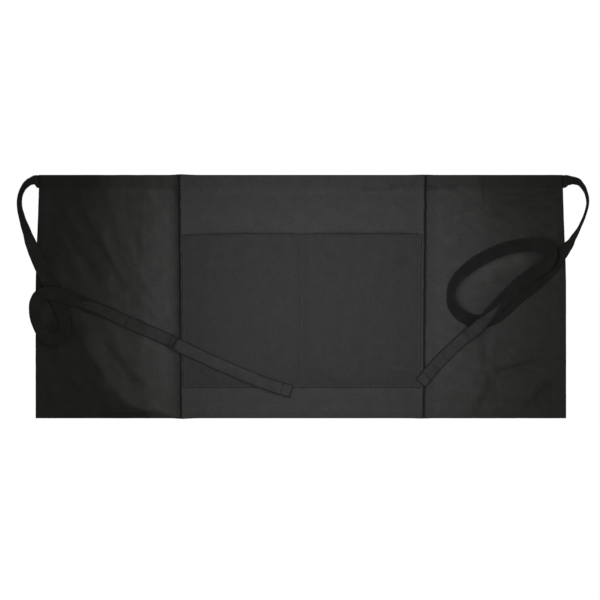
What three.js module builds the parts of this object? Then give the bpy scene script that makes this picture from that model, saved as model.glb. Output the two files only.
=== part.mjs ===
// A waist apron of black cotton twill with a divided front pocket and two ties, lying with its
// front up. Millimetres; X runs along the waistband, Y towards it and Z up from the surface that
// the apron lies on. The origin is on the back of the panel, at its middle.
import * as THREE from 'three';

// Cut sizes
const panelWidth = 900;
const panelHeight = 413;
const clothThickness = 1.3;
const bandWidth = 22.4; // the waistband, and the ties, which are cut from the same strip
const tieThickness = 1.4; // two layers, pressed
const rootOverhang = 1; // a tie lies flat under its corner of the panel until just past the edge
const freeOfPanel = 60; // and is clear of that corner after this length
const sideHemWidth = 11;
const bottomHemWidth = 14;
const hemThickness = 1.2;
const seamGap = 0.3; // between pieces that are sewn or lie on each other

// Pocket, placed from the middle of the panel and from its lower edge
const pocketWidth = 404;
const pocketHeight = 261;
const pocketRise = 52; // from the lower edge of the panel to the bottom seam
const pocketDepth = 7; // how far each compartment stands open
const openReach = 70; // above the bottom seam the pocket opens over this height
const seamMargin = 5; // the stitched edge of the pocket, flat on the panel
const mouthHemWidth = 12;
const mouthHemExtra = 1; // the turned edge makes the mouth this much thicker
const pocketShift = 2; // the pocket sits this far right of the panel's middle
const dividerShift = 2; // and the divider stitch this far right of the pocket's own

// How the cloth lies
const drawIn = 5.5; // the ties pull each side edge in by this much at the waistband
const drawInReach = 200;
const creaseRise = 10; // a full-height pressed crease, from folding in three
const creaseInner = 34; // where the crease starts to rise, on the side of the pocket
const creaseOuter = 20; // where it is down again, on the side of the edge
const creaseSharpness = 1.6; // 1 is a straight-sided ridge, more is a sharper one
const hemFade = 18; // beside a hem the cloth comes down to the surface again
const foldRise = 3.2;
const foldSpread = 26;
const foldEnd = 0.35; // a fold's ends are this share as high as its middle

// Facets
const columnStep = 27;
const rowStep = 25;
const tieStep = 9;
const tieSlope = 0.4; // a tie climbs over what it crosses no steeper than this
const crossingLength = 65; // a stretch of a tie further back than this is crossed, not its own bend

const halfWidth = panelWidth / 2;
const top = panelHeight / 2;
const bottom = -panelHeight / 2;
const tieWidth = bandWidth - 2 * seamGap;
const hemRoom = Math.max(hemThickness, tieThickness) + seamGap;
const pocketLeft = pocketShift - pocketWidth / 2;
const pocketRight = pocketLeft + pocketWidth;
const pocketBottom = bottom + pocketRise;
const pocketMouth = pocketBottom + pocketHeight;
const divider = pocketShift + dividerShift;

// The pressed creases: x is a share of the panel's width from its middle, rise a share of creaseRise.
const creases = [
  { x: -0.2256, rise: 1 },
  { x: 0.2317, rise: 0.5 },
];

// Soft folds in the side panels: their ends are shares of the panel's width and height from its
// middle, rise and spread are shares of foldRise and foldSpread.
const folds = [
  { fromX: -0.415, fromY: 0.40, toX: -0.330, toY: 0.05, rise: 0.8, spread: 1.0 },
  { fromX: -0.455, fromY: 0.32, toX: -0.395, toY: 0.02, rise: 0.8, spread: 1.0 },
  { fromX: -0.350, fromY: 0.40, toX: -0.290, toY: -0.04, rise: 0.7, spread: 0.9 },
  { fromX: -0.400, fromY: -0.16, toX: -0.335, toY: -0.44, rise: 1.0, spread: 1.4 },
  { fromX: 0.346, fromY: 0.40, toX: 0.350, toY: 0.10, rise: 0.7, spread: 0.9 },
  { fromX: 0.355, fromY: -0.20, toX: 0.340, toY: -0.42, rise: 0.9, spread: 1.0 },
  { fromX: 0.375, fromY: -0.29, toX: 0.440, toY: -0.24, rise: 0.8, spread: 1.0 },
  { fromX: 0.465, fromY: -0.34, toX: 0.425, toY: -0.44, rise: 0.7, spread: 0.9 },
];

// The ties, each a strap that leaves the end of the waistband, drops beside the panel and comes
// back over its edge. x and y are shares of the panel's width and height from its middle, roll is
// the turn about the strap's own line in degrees: 0 is face up, 90 on edge, 180 reverse up.
const rightRoute = [
  { x: 0.506, y: 0.478, roll: 50 },
  { x: 0.519, y: 0.479, roll: 64 },
  { x: 0.531, y: 0.463, roll: 76 },
  { x: 0.540, y: 0.430, roll: 87 },
  { x: 0.543, y: 0.390, roll: 93 },
  { x: 0.540, y: 0.355, roll: 97 },
  { x: 0.528, y: 0.296, roll: 104 },
  { x: 0.511, y: 0.237, roll: 124 },
  { x: 0.498, y: 0.201, roll: 148 },
  { x: 0.484, y: 0.161, roll: 170 },
  { x: 0.453, y: 0.080, roll: 180 },
  { x: 0.407, y: -0.004, roll: 180 },
  { x: 0.360, y: -0.088, roll: 180 },
  { x: 0.331, y: -0.101, roll: 182 },
  { x: 0.306, y: -0.084, roll: 202 },
  { x: 0.289, y: -0.047, roll: 228 },
  { x: 0.284, y: 0.007, roll: 240 },
  { x: 0.291, y: 0.062, roll: 230 },
  { x: 0.309, y: 0.108, roll: 212 },
  { x: 0.335, y: 0.148, roll: 198 },
  { x: 0.379, y: 0.193, roll: 192 },
  { x: 0.430, y: 0.214, roll: 190 },
  { x: 0.455, y: 0.207, roll: 192 },
  { x: 0.467, y: 0.178, roll: 192 },
  { x: 0.461, y: 0.134, roll: 184 },
  { x: 0.421, y: 0.058, roll: 180 },
  { x: 0.387, y: -0.010, roll: 170 },
  { x: 0.363, y: -0.059, roll: 92 },
  { x: 0.344, y: -0.099, roll: 14 },
  { x: 0.299, y: -0.186, roll: 0 },
  { x: 0.248, y: -0.296, roll: 0 },
  { x: 0.225, y: -0.354, roll: 0 },
];
const leftRoute = [
  { x: -0.506, y: 0.475, roll: -52 },
  { x: -0.516, y: 0.464, roll: -66 },
  { x: -0.525, y: 0.441, roll: -74 },
  { x: -0.530, y: 0.410, roll: -80 },
  { x: -0.531, y: 0.372, roll: -84 },
  { x: -0.527, y: 0.330, roll: -98 },
  { x: -0.516, y: 0.268, roll: -122 },
  { x: -0.504, y: 0.208, roll: -152 },
  { x: -0.495, y: 0.156, roll: -174 },
  { x: -0.476, y: 0.060, roll: -180 },
  { x: -0.453, y: -0.051, roll: -180 },
  { x: -0.440, y: -0.140, roll: -182 },
  { x: -0.442, y: -0.200, roll: -192 },
  { x: -0.461, y: -0.232, roll: -206 },
  { x: -0.483, y: -0.205, roll: -220 },
  { x: -0.497, y: -0.140, roll: -234 },
  { x: -0.503, y: -0.066, roll: -238 },
  { x: -0.500, y: -0.018, roll: -224 },
  { x: -0.487, y: 0.008, roll: -200 },
  { x: -0.468, y: 0.014, roll: -184 },
  { x: -0.449, y: 0.005, roll: -174 },
  { x: -0.430, y: -0.012, roll: -140 },
  { x: -0.417, y: -0.024, roll: -88 },
  { x: -0.402, y: -0.038, roll: -20 },
  { x: -0.372, y: -0.061, roll: 0 },
  { x: -0.328, y: -0.104, roll: 0 },
  { x: -0.251, y: -0.177, roll: 0 },
  { x: -0.192, y: -0.240, roll: 0 },
  { x: -0.112, y: -0.317, roll: 0 },
  { x: -0.057, y: -0.364, roll: 0 },
  { x: -0.018, y: -0.390, roll: 0 },
];

const ease = (share) => {
  const t = Math.min(Math.max(share, 0), 1);
  return t * t * (3 - 2 * t);
};

// The side edges lean in towards the waistband; the middle of the panel stays straight.
function drawnIn(x, y) {
  const outerHalf = ease((Math.abs(x) / halfWidth - 0.5) / 0.5);
  return x - Math.sign(x) * drawIn * outerHalf * ease(1 - (top - y) / drawInReach);
}

function creaseHeight(x) {
  let height = 0;
  for (const crease of creases) {
    const at = crease.x * panelWidth;
    const outward = (x - at) * Math.sign(at);
    const reach = outward < 0 ? creaseInner : creaseOuter;
    const left = Math.max(1 - Math.abs(outward) / reach, 0);
    height += crease.rise * creaseRise * left ** creaseSharpness;
  }
  return height;
}

function foldHeight(x, y) {
  let height = 0;
  for (const fold of folds) {
    const fromX = fold.fromX * panelWidth;
    const fromY = fold.fromY * panelHeight;
    const runX = fold.toX * panelWidth - fromX;
    const runY = fold.toY * panelHeight - fromY;
    const share = ((x - fromX) * runX + (y - fromY) * runY) / (runX ** 2 + runY ** 2);
    const along = Math.min(Math.max(share, 0), 1);
    const away = Math.hypot(x - fromX - runX * along, y - fromY - runY * along);
    const taper = foldEnd + (1 - foldEnd) * Math.sin(Math.PI * along);
    height += fold.rise * foldRise * taper * ease(1 - away / (fold.spread * foldSpread));
  }
  return height;
}

// How far the back of the panel is from the surface. The hems and the roots of the ties lie under
// its edges; the middle behind the pocket lies flat.
function undersideHeight(x, y) {
  const pastHem = Math.min(
    halfWidth - sideHemWidth - Math.abs(x),
    top - bandWidth - y,
    y - bottom - bottomHemWidth,
  );
  return hemRoom * ease(1 - pastHem / hemFade) + creaseHeight(x) + foldHeight(x, y);
}

// Splits the spans between the given lines into equal steps no longer than the step.
function gridLines(lines, step) {
  const sorted = [...lines].sort((a, b) => a - b);
  const all = [sorted[0]];
  for (let i = 1; i < sorted.length; i++) {
    const span = sorted[i] - sorted[i - 1];
    const parts = Math.ceil(span / step);
    for (let k = 1; k <= parts; k++) all.push(sorted[i - 1] + (span * k) / parts);
  }
  return all;
}

// A sheet is a list of rows of points, each with the height of its lower and its upper face.
function makeSheet(columns, rows, lowerFace, thickness) {
  return rows.map((y) => columns.map((column) => {
    const low = lowerFace(column, y);
    return { x: drawnIn(column, y), y, low, high: low + thickness(column, y) };
  }));
}

// The height of a sheet's upper face at a place, on its own facets, or nothing outside it.
function upperFace(sheet, x, y) {
  const j = sheet.findIndex((row, k) => k > 0 && y <= row[0].y) - 1;
  if (j < 0 || y < sheet[0][0].y) return undefined;
  const [front, back] = [sheet[j], sheet[j + 1]];
  const v = (y - front[0].y) / (back[0].y - front[0].y);
  const xAt = (k) => front[k].x + (back[k].x - front[k].x) * v;
  if (x < xAt(0) || x > xAt(front.length - 1)) return undefined;
  let i = 0;
  while (i < front.length - 2 && x > xAt(i + 1)) i++;
  const u = (x - xAt(i)) / (xAt(i + 1) - xAt(i));
  const [a, b, c, d] = [front[i].high, front[i + 1].high, back[i + 1].high, back[i].high];
  return u > v ? a + (b - a) * u + (c - b) * v : a + (c - d) * u + (d - a) * v;
}

function meshFrom(name, positions, triangles, finish) {
  const geometry = new THREE.BufferGeometry();
  geometry.setAttribute('position', new THREE.Float32BufferAttribute(positions, 3));
  geometry.setIndex(triangles);
  geometry.computeVertexNormals();
  const mesh = new THREE.Mesh(geometry, finish);
  mesh.name = name;
  return mesh;
}

function sheetMesh(name, sheet, finish) {
  const [across, deep] = [sheet[0].length, sheet.length];
  const positions = [];
  const triangles = [];
  for (const face of ['low', 'high']) {
    for (const row of sheet) for (const p of row) positions.push(p.x, p.y, p[face]);
  }
  const lower = (i, j) => j * across + i;
  const upper = (i, j) => across * deep + j * across + i;
  for (let j = 0; j < deep - 1; j++) {
    for (let i = 0; i < across - 1; i++) {
      triangles.push(upper(i, j), upper(i + 1, j), upper(i + 1, j + 1));
      triangles.push(upper(i, j), upper(i + 1, j + 1), upper(i, j + 1));
      triangles.push(lower(i, j), lower(i + 1, j + 1), lower(i + 1, j));
      triangles.push(lower(i, j), lower(i, j + 1), lower(i + 1, j + 1));
    }
  }
  const wall = (i, j, nextI, nextJ) => {
    triangles.push(lower(i, j), lower(nextI, nextJ), upper(nextI, nextJ));
    triangles.push(lower(i, j), upper(nextI, nextJ), upper(i, j));
  };
  for (let i = 0; i < across - 1; i++) {
    wall(i, 0, i + 1, 0);
    wall(i + 1, deep - 1, i, deep - 1);
  }
  for (let j = 0; j < deep - 1; j++) {
    wall(0, j + 1, 0, j);
    wall(across - 1, j, across - 1, j + 1);
  }
  return meshFrom(name, positions, triangles, finish);
}

// The lines of the panel's grid run on through the hems and the pocket, so that facets that lie
// over each other are parallel.
const columns = gridLines([
  -halfWidth, -halfWidth + sideHemWidth, halfWidth - sideHemWidth, halfWidth,
  -halfWidth + sideHemWidth + hemFade, halfWidth - sideHemWidth - hemFade,
  ...creases.flatMap(({ x }) => {
    const at = x * panelWidth;
    const outward = Math.sign(at);
    return [
      at - outward * creaseInner, at - (outward * creaseInner) / 2, at - (outward * creaseInner) / 5,
      at, at + (outward * creaseOuter) / 3, at + outward * creaseOuter,
    ];
  }),
  pocketLeft, pocketLeft + seamMargin, divider - seamMargin, divider + seamMargin,
  pocketRight - seamMargin, pocketRight,
], columnStep);
const rows = gridLines([
  bottom, bottom + bottomHemWidth, bottom + bottomHemWidth + hemFade,
  pocketBottom, pocketBottom + seamMargin, pocketMouth - mouthHemWidth - mouthHemExtra,
  pocketMouth - mouthHemWidth, pocketMouth,
  top - bandWidth - hemFade, top - bandWidth, top,
], rowStep);

const panel = makeSheet(columns, rows, undersideHeight, () => clothThickness);

// A turned edge is a strip under the edge of the panel.
function hemMesh(name, fromX, toX, fromY, toY, finish) {
  const inner = (lines, low, high) => lines.filter((v) => v > low && v < high);
  const across = [fromX, ...inner(columns, fromX, toX), toX];
  const deep = [fromY, ...inner(rows, fromY, toY), toY];
  const lowerFace = (x, y) => undersideHeight(x, y) - seamGap - hemThickness;
  return sheetMesh(name, makeSheet(across, deep, lowerFace, () => hemThickness), finish);
}

// Each compartment of the pocket is held down along its seams and stands open between them.
function openHeight(x, y) {
  const [left, right] = x < divider ? [pocketLeft, divider] : [divider, pocketRight];
  const margin = seamMargin / (right - left);
  const across = Math.min(Math.max(((x - left) / (right - left) - margin) / (1 - 2 * margin), 0), 1);
  const up = Math.min(Math.max((y - pocketBottom - seamMargin) / openReach, 0), 1);
  return pocketDepth * (1 - Math.abs(2 * across - 1) ** 4) * (1 - (1 - up) ** 3);
}

function makePocket() {
  const across = columns.filter((x) => x >= pocketLeft && x <= pocketRight);
  const deep = rows.filter((y) => y >= pocketBottom && y <= pocketMouth);
  const lowerFace = (x, y) => upperFace(panel, x, y) + seamGap + openHeight(x, y);
  const thickness = (x, y) => clothThickness + (y >= pocketMouth - mouthHemWidth ? mouthHemExtra : 0);
  return makeSheet(across, deep, lowerFace, thickness);
}

const pocket = makePocket();

// What a tie lies on at a place: the pocket, the panel or the surface below both.
function supportHeight(x, y) {
  return upperFace(pocket, x, y) ?? upperFace(panel, x, y) ?? 0;
}

// A tie is a list of stations along its route, each with its place, its direction and its roll. A
// station is as high as what lies under it needs, and earlier stretches of the same tie count too.
function layTie(side, route) {
  const rootY = top - bandWidth / 2;
  const cornerX = Math.abs(drawnIn(halfWidth, rootY));
  const root = [seamGap - sideHemWidth, rootOverhang].map((past) => (
    { x: side * (cornerX + past), y: rootY, roll: 0 }
  ));
  const points = [
    ...root,
    ...route.map(({ x, y, roll }) => ({ x: x * panelWidth, y: y * panelHeight, roll })),
  ];
  const line = new THREE.CatmullRomCurve3(
    points.map(({ x, y }) => new THREE.Vector3(x, y, 0)), false, 'centripetal',
  );
  const stations = [];
  let travelled = 0;
  points.slice(1).forEach((next, i) => {
    const span = Math.hypot(next.x - points[i].x, next.y - points[i].y);
    const parts = Math.ceil(span / tieStep);
    for (let k = i === 0 ? 0 : 1; k <= parts; k++) {
      const t = (i + k / parts) / (points.length - 1);
      const place = line.getPoint(t);
      const last = stations.at(-1);
      if (last) travelled += Math.hypot(place.x - last.x, place.y - last.y);
      stations.push({
        x: place.x, y: place.y, along: line.getTangent(t), travelled, inRoot: i === 0,
        roll: THREE.MathUtils.degToRad(points[i].roll + (next.roll - points[i].roll) * ease(k / parts)),
      });
    }
  });

  for (const station of stations) {
    const { roll } = station;
    station.halfAcross = (tieWidth * Math.abs(Math.cos(roll)) + tieThickness * Math.abs(Math.sin(roll))) / 2;
    station.halfHeight = (tieWidth * Math.abs(Math.sin(roll)) + tieThickness * Math.abs(Math.cos(roll))) / 2;
    station.need = station.halfHeight + (station.inRoot ? 0 : restingOn(station, []));
  }
  settle(stations);
  for (const station of stations) {
    const earlier = stations.filter(({ travelled: before }) => before < station.travelled - crossingLength);
    if (earlier.length) station.need = station.halfHeight + restingOn(station, earlier);
  }
  settle(stations);
  return stations;
}

// The highest thing under a station's own width and a step each way along it.
function restingOn({ x, y, along, halfAcross, travelled }, earlier) {
  if (travelled < freeOfPanel) return 0;
  let highest = 0;
  for (const across of [-1, -0.5, 0, 0.5, 1]) {
    for (const ahead of [-1, -0.5, 0, 0.5, 1]) {
      const px = x - along.y * across * halfAcross + along.x * ahead * tieStep;
      const py = y + along.x * across * halfAcross + along.y * ahead * tieStep;
      const under = supportHeight(px, py);
      if (under > 0) highest = Math.max(highest, under + seamGap);
      for (const other of earlier) {
        if (Math.hypot(px - other.x, py - other.y) < other.halfAcross + tieStep / 2) {
          highest = Math.max(highest, other.z + other.halfHeight + seamGap);
        }
      }
    }
  }
  return highest;
}

// A strap is too stiff to drop straight off what it crosses, so it slopes down from there.
function settle(stations) {
  for (const station of stations) {
    station.z = station.need;
    if (station.inRoot) continue;
    for (const other of stations) {
      const drop = tieSlope * Math.abs(other.travelled - station.travelled);
      const lift = other.need - other.halfHeight - drop;
      if (!other.inRoot) station.z = Math.max(station.z, station.halfHeight + lift);
    }
  }
}

function tieMesh(name, stations, finish) {
  const corners = [[-1, -1], [1, -1], [1, 1], [-1, 1]];
  const positions = [];
  const triangles = [];
  for (const { x, y, z, along, roll } of stations) {
    const [sin, cos] = [Math.sin(roll), Math.cos(roll)];
    for (const [side, face] of corners) {
      const [width, thick] = [(side * tieWidth) / 2, (face * tieThickness) / 2];
      const across = width * cos - thick * sin;
      positions.push(x - along.y * across, y + along.x * across, z + width * sin + thick * cos);
    }
  }
  const last = (stations.length - 1) * 4;
  for (let at = 0; at < last; at += 4) {
    for (let k = 0; k < 4; k++) {
      const next = (k + 1) % 4;
      triangles.push(at + k, at + next, at + 4 + next, at + k, at + 4 + next, at + 4 + k);
    }
  }
  triangles.push(0, 2, 1, 0, 3, 2, last, last + 1, last + 2, last, last + 2, last + 3);
  return meshFrom(name, positions, triangles, finish);
}

const twill = new THREE.MeshStandardMaterial({ color: 0x38383a, roughness: 0.9, metalness: 0 });
const tieTwill = new THREE.MeshStandardMaterial({ color: 0x2e2e2e, roughness: 0.92, metalness: 0 });

const apron = new THREE.Group();
apron.add(
  sheetMesh('apron_panel', panel, twill),
  sheetMesh('pocket', pocket, twill),
  hemMesh('waistband', -halfWidth + sideHemWidth, halfWidth - sideHemWidth, top - bandWidth, top, twill),
  hemMesh('bottom_hem', -halfWidth, halfWidth, bottom, bottom + bottomHemWidth, twill),
);
const sideHemFrom = bottom + bottomHemWidth + seamGap;
const sideHemTo = top - bandWidth - seamGap;
apron.add(
  hemMesh('left_side_hem', -halfWidth, -halfWidth + sideHemWidth, sideHemFrom, sideHemTo, twill),
  hemMesh('right_side_hem', halfWidth - sideHemWidth, halfWidth, sideHemFrom, sideHemTo, twill),
  tieMesh('left_tie', layTie(-1, leftRoute), tieTwill),
  tieMesh('right_tie', layTie(1, rightRoute), tieTwill),
);

export default apron;
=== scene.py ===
import math

import bpy
import numpy as np
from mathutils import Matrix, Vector
from mathutils.bvhtree import BVHTree


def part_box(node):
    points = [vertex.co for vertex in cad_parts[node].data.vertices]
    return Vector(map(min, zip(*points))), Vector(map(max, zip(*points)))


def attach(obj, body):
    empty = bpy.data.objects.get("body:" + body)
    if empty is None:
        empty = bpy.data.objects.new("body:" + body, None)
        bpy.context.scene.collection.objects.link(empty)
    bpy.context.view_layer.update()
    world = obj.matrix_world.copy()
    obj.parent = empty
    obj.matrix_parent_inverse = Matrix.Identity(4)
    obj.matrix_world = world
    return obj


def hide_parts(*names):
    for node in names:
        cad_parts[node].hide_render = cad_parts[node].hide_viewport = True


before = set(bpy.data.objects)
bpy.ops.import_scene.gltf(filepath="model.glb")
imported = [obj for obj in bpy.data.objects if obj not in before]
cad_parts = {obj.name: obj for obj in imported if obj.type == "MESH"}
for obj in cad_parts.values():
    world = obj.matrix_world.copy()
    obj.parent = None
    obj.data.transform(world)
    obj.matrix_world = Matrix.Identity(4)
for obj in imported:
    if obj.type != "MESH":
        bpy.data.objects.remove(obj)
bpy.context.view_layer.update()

# Waist apron of black cotton twill, lying flat with its front up, seen from straight above.
mm = 0.001
panelLow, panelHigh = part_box("apron_panel")
pocketLow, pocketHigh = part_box("pocket")
panelWidth = panelHigh.x - panelLow.x
panelHeight = panelHigh.y - panelLow.y
halfWidth = panelWidth / 2
top, bottom = panelHigh.y, panelLow.y
print("frame read, panel", round(panelWidth, 3), "by", round(panelHeight, 3), "m")


def ease(share):
    t = np.clip(share, 0, 1)
    return t * t * (3 - 2 * t)


def gridLines(keys, step):
    # the spans between the key lines, split into equal steps
    keys = sorted(set(round(k, 6) for k in keys))
    lines = [keys[0]]
    for a, b in zip(keys, keys[1:]):
        parts = max(1, math.ceil((b - a) / step - 0.01))
        lines += [a + (b - a) * (k + 1) / parts for k in range(parts)]
    return np.array(lines)


def softNoise(x, y, size, seed, waves=22):
    # smooth unevenness from plane waves of about one size, from -1 to 1
    rng = np.random.default_rng(seed)
    total = 0.0 * x
    for _ in range(waves):
        angle = rng.uniform(0, 2 * math.pi)
        k = 2 * math.pi / (size * rng.uniform(0.6, 1.7))
        total += np.sin(k * (x * math.cos(angle) + y * math.sin(angle)) + rng.uniform(0, 6.28))
    return total / math.sqrt(waves)


# How the cloth lies
lie = {
    "clothThickness": 1.0 * mm,
    "seamGap": 0.3 * mm,
    "hemRoom": 1.7 * mm,          # the panel's edges lie this high, on the hems
    "hemFade": 18 * mm,
    "bandWidth": 24.6 * mm,
    "sideHem": 11 * mm,
    "bottomHem": 14 * mm,
    "drawIn": 5.5 * mm,           # the ties pull the side edges in near the waistband
    "drawInReach": 200 * mm,
    "creaseRise": 10 * mm,
    "creaseInner": 34 * mm,
    "creaseOuter": 20 * mm,
    "creaseSharpness": 1.6,
    "creaseLean": 0.0076,         # each crease runs a little outwards on its way up
    "creaseHold": 24 * mm,        # the cloth within this of a crease leans with it
    "creaseWander": 0.35 * mm,    # the pressed line strays this far, in waves of wanderSize
    "wanderSize": 30 * mm,
    "grooveDepth": 2.2 * mm,      # the sharp pressed line just outside each crest
    "grooveWidth": 2.5 * mm,
    "grooveOffset": 1.2 * mm,
    "unevenness": 0.30 * mm,
    "crumple": 0.65 * mm,         # height of the long shallow waves of the side panels
    # those waves: their spacing, their length, their direction in radians, their seed
    "wavesLeft": (26 * mm, 110 * mm, 0.42, 12),
    "wavesRight": (26 * mm, 90 * mm, 1.1, 15),
    "pucker": 0.28 * mm,          # where a row of stitches draws the cloth up
    "puckerReach": 9 * mm,
    "floorRoom": 0.25 * mm,       # no part of the underside comes lower than this
    "floorSoft": 0.5 * mm,        # how gently it levels out there
    "turningRoom": 0.2 * mm,
    "rimSoftness": 0.28,          # how much of its thickness a cut edge loses on each face
    "wornAndShadedRise": 0.30 * mm,        # a crest this high is nearly as pale as any, from wear and painted highlight
}
innerEdge = halfWidth - lie["sideHem"]
bandFoot = top - lie["bandWidth"]
hemTop = bottom + lie["bottomHem"]

# pressed creases: place as a share of the panel's width, height as a share of creaseRise
creases = [(-0.2256, 1.0), (0.2317, 0.5)]

# folds of the side panels: from x, y to x, y as shares of the panel from its middle, then how
# high and how wide in mm; a minus sign is a dent
softFolds = [
    (-0.415, 0.40, -0.330, 0.05, 4.0, 24),
    (-0.455, 0.32, -0.395, 0.02, 3.6, 26),
    (-0.350, 0.40, -0.290, -0.04, 4.2, 27),
    (-0.405, -0.10, -0.375, -0.30, 5.0, 32),
    (-0.375, -0.30, -0.330, -0.45, 5.0, 32),
    (0.346, 0.40, 0.350, 0.10, 2.2, 23),
    (0.355, -0.20, 0.340, -0.42, 2.9, 26),
    (0.375, -0.29, 0.440, -0.24, 2.6, 26),
    (0.465, -0.34, 0.425, -0.44, 2.2, 23),
]
fineFolds = [
    (-0.424, 0.398, -0.374, 0.240, 1.3, 7),
    (-0.374, 0.240, -0.330, 0.052, 1.5, 7),
    (-0.453, 0.319, -0.374, 0.085, 1.3, 8),
    (-0.343, 0.202, -0.311, 0.097, 1.2, 5),
    (-0.469, 0.117, -0.461, 0.030, 1.2, 6),
    (-0.359, 0.150, -0.357, 0.000, 1.4, 8),
    (-0.330, 0.040, -0.325, -0.060, 1.0, 7),
    (-0.305, 0.120, -0.300, -0.030, 0.9, 8),
    (-0.365, -0.195, -0.313, -0.341, -1.6, 8),
    (-0.425, -0.064, -0.408, -0.200, -1.6, 12),
    (-0.408, -0.200, -0.380, -0.310, -1.6, 12),
    (-0.380, -0.310, -0.332, -0.458, -1.6, 12),
    (0.346, 0.500, 0.347, 0.330, -1.2, 5),
    (0.346, -0.195, 0.347, -0.265, -1.2, 5),
    (0.357, -0.310, 0.348, -0.405, -1.5, 8),
    (0.348, -0.405, 0.329, -0.459, -1.3, 8),
    (0.371, -0.306, 0.433, -0.269, -1.4, 7),
    (0.461, -0.364, 0.429, -0.446, -1.4, 8),
    (0.235, 0.455, 0.338, 0.447, 0.9, 5),
    (0.376, 0.410, 0.490, 0.390, 1.0, 6),
    (0.400, 0.375, 0.480, 0.368, -0.9, 6),
    (-0.179, 0.488, -0.166, 0.439, 0.8, 5),
    (0.146, 0.441, 0.172, 0.440, -0.9, 4),
    (0.178, 0.466, 0.197, 0.450, 0.8, 5),
]


def alongLine(x, y, start, end):
    # how far along a line each point lies, from 0 to 1, and how far away from it
    runX = end[0] - start[0]
    runY = end[1] - start[1]
    along = np.clip(((x - start[0]) * runX + (y - start[1]) * runY) / (runX**2 + runY**2), 0, 1)
    return along, np.hypot(x - start[0] - runX * along, y - start[1] - runY * along)


def foldHeight(x, y, table):
    height = 0.0 * x
    for fromX, fromY, toX, toY, rise, spread in table:
        start = (fromX * panelWidth, fromY * panelHeight)
        along, away = alongLine(x, y, start, (toX * panelWidth, toY * panelHeight))
        height += rise * mm * (0.35 + 0.65 * np.sin(math.pi * along)) * ease(1 - away / (spread * mm))
    return height


def pastCrease(x, y, share):
    # how far out from a crease's pressed line a point lies
    at = share * panelWidth
    strayed = lie["creaseWander"] * softNoise(0 * x, y, lie["wanderSize"], 61)
    return (x - at) * math.copysign(1, at) - strayed


def grooves(x, y):
    # 1 along each crest's outer side and 0 away from it
    line = 0.0 * x
    for share, _ in creases:
        outward = pastCrease(x, y, share) - lie["grooveOffset"]
        line = np.maximum(line, np.clip(1.25 - np.abs(outward) / lie["grooveWidth"], 0, 1))
    return line


def creaseHeight(x, y):
    height = 0.0 * x
    for share, rise in creases:
        at = share * panelWidth
        outward = (x - at) * math.copysign(1, at)
        reach = np.where(outward < 0, lie["creaseInner"], lie["creaseOuter"])
        left = np.maximum(1 - np.abs(outward) / reach, 0)
        height += rise * lie["creaseRise"] * left ** lie["creaseSharpness"]
    return height - lie["grooveDepth"] * grooves(x, y)


def streaks(x, y, across, along, direction, seed):
    # long soft unevenness in one direction, bent by a slower one, from -1 to 1
    bend = 8 * mm * softNoise(x, y, 90 * mm, seed)
    u = x * math.cos(direction) + y * math.sin(direction) + bend
    v = -x * math.sin(direction) + y * math.cos(direction)
    return np.clip(softNoise(u, v * across / along, across, seed + 1, 30) * 0.7, -1, 1)


def scatteredFolds(xs, ys, count, direction, scatter, lengths, highest, widths, seed):
    # many small wrinkles of one zone, in the same columns as fineFolds
    rng = np.random.default_rng(seed)
    table = []
    for _ in range(count):
        x = rng.uniform(*xs)
        y = rng.uniform(*ys)
        turn = math.radians(direction + rng.normal(0, scatter))
        length = rng.uniform(*lengths) * mm
        rise = rng.uniform(0.45, 1.0) * highest * rng.choice((1, 1, -1))
        table.append((x, y, x + length * math.cos(turn) / panelWidth,
                      y + length * math.sin(turn) / panelHeight, rise, rng.uniform(*widths)))
    return table


# zones of small wrinkles: their range in x and in y, how many, their direction and its scatter in
# degrees, their length, greatest height and width in mm, and a seed
foldZones = [
    ((-0.47, -0.27), (-0.05, 0.42), 26, -64, 13, (35, 110), 1.4, (7, 14), 3),
    ((-0.44, -0.25), (-0.30, 0.05), 12, -58, 14, (30, 80), 1.1, (7, 13), 5),
    ((0.26, 0.40), (-0.40, 0.42), 9, -84, 16, (20, 60), 1.2, (6, 12), 8),
    ((0.27, 0.44), (0.34, 0.44), 12, -4, 10, (14, 50), 1.2, (4, 7), 11),
    ((0.33, 0.46), (-0.44, -0.20), 16, -40, 34, (16, 50), 1.4, (5, 9), 14),
    ((-0.20, 0.20), (0.28, 0.44), 24, 25, 50, (8, 34), 0.5, (4, 9), 17),
    ((-0.20, 0.20), (-0.46, -0.40), 12, 10, 40, (8, 24), 0.45, (4, 8), 19),
]
fineFolds += [row for zone in foldZones for row in scatteredFolds(*zone)]


# painted shade on the two sides of the panel, where the lamp's light falls off: the inner border of each
# shaded side, as y and x in mm
paintedShadeSides = {
    "left": [
        (206, -333), (181, -350), (164, -384), (139, -410), (79, -421), (23, -416), (8, -399), (-8, -389),
        (-33, -382), (-74, -370), (-121, -346), (-158, -322), (-182, -300), (-194, -251), (-206, -209),
    ],
    "right": [
        (206, 311), (150, 311), (138, 330), (110, 385), (60, 404), (-40, 400), (-110, 395), (-206, 392),
    ],
}
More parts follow.
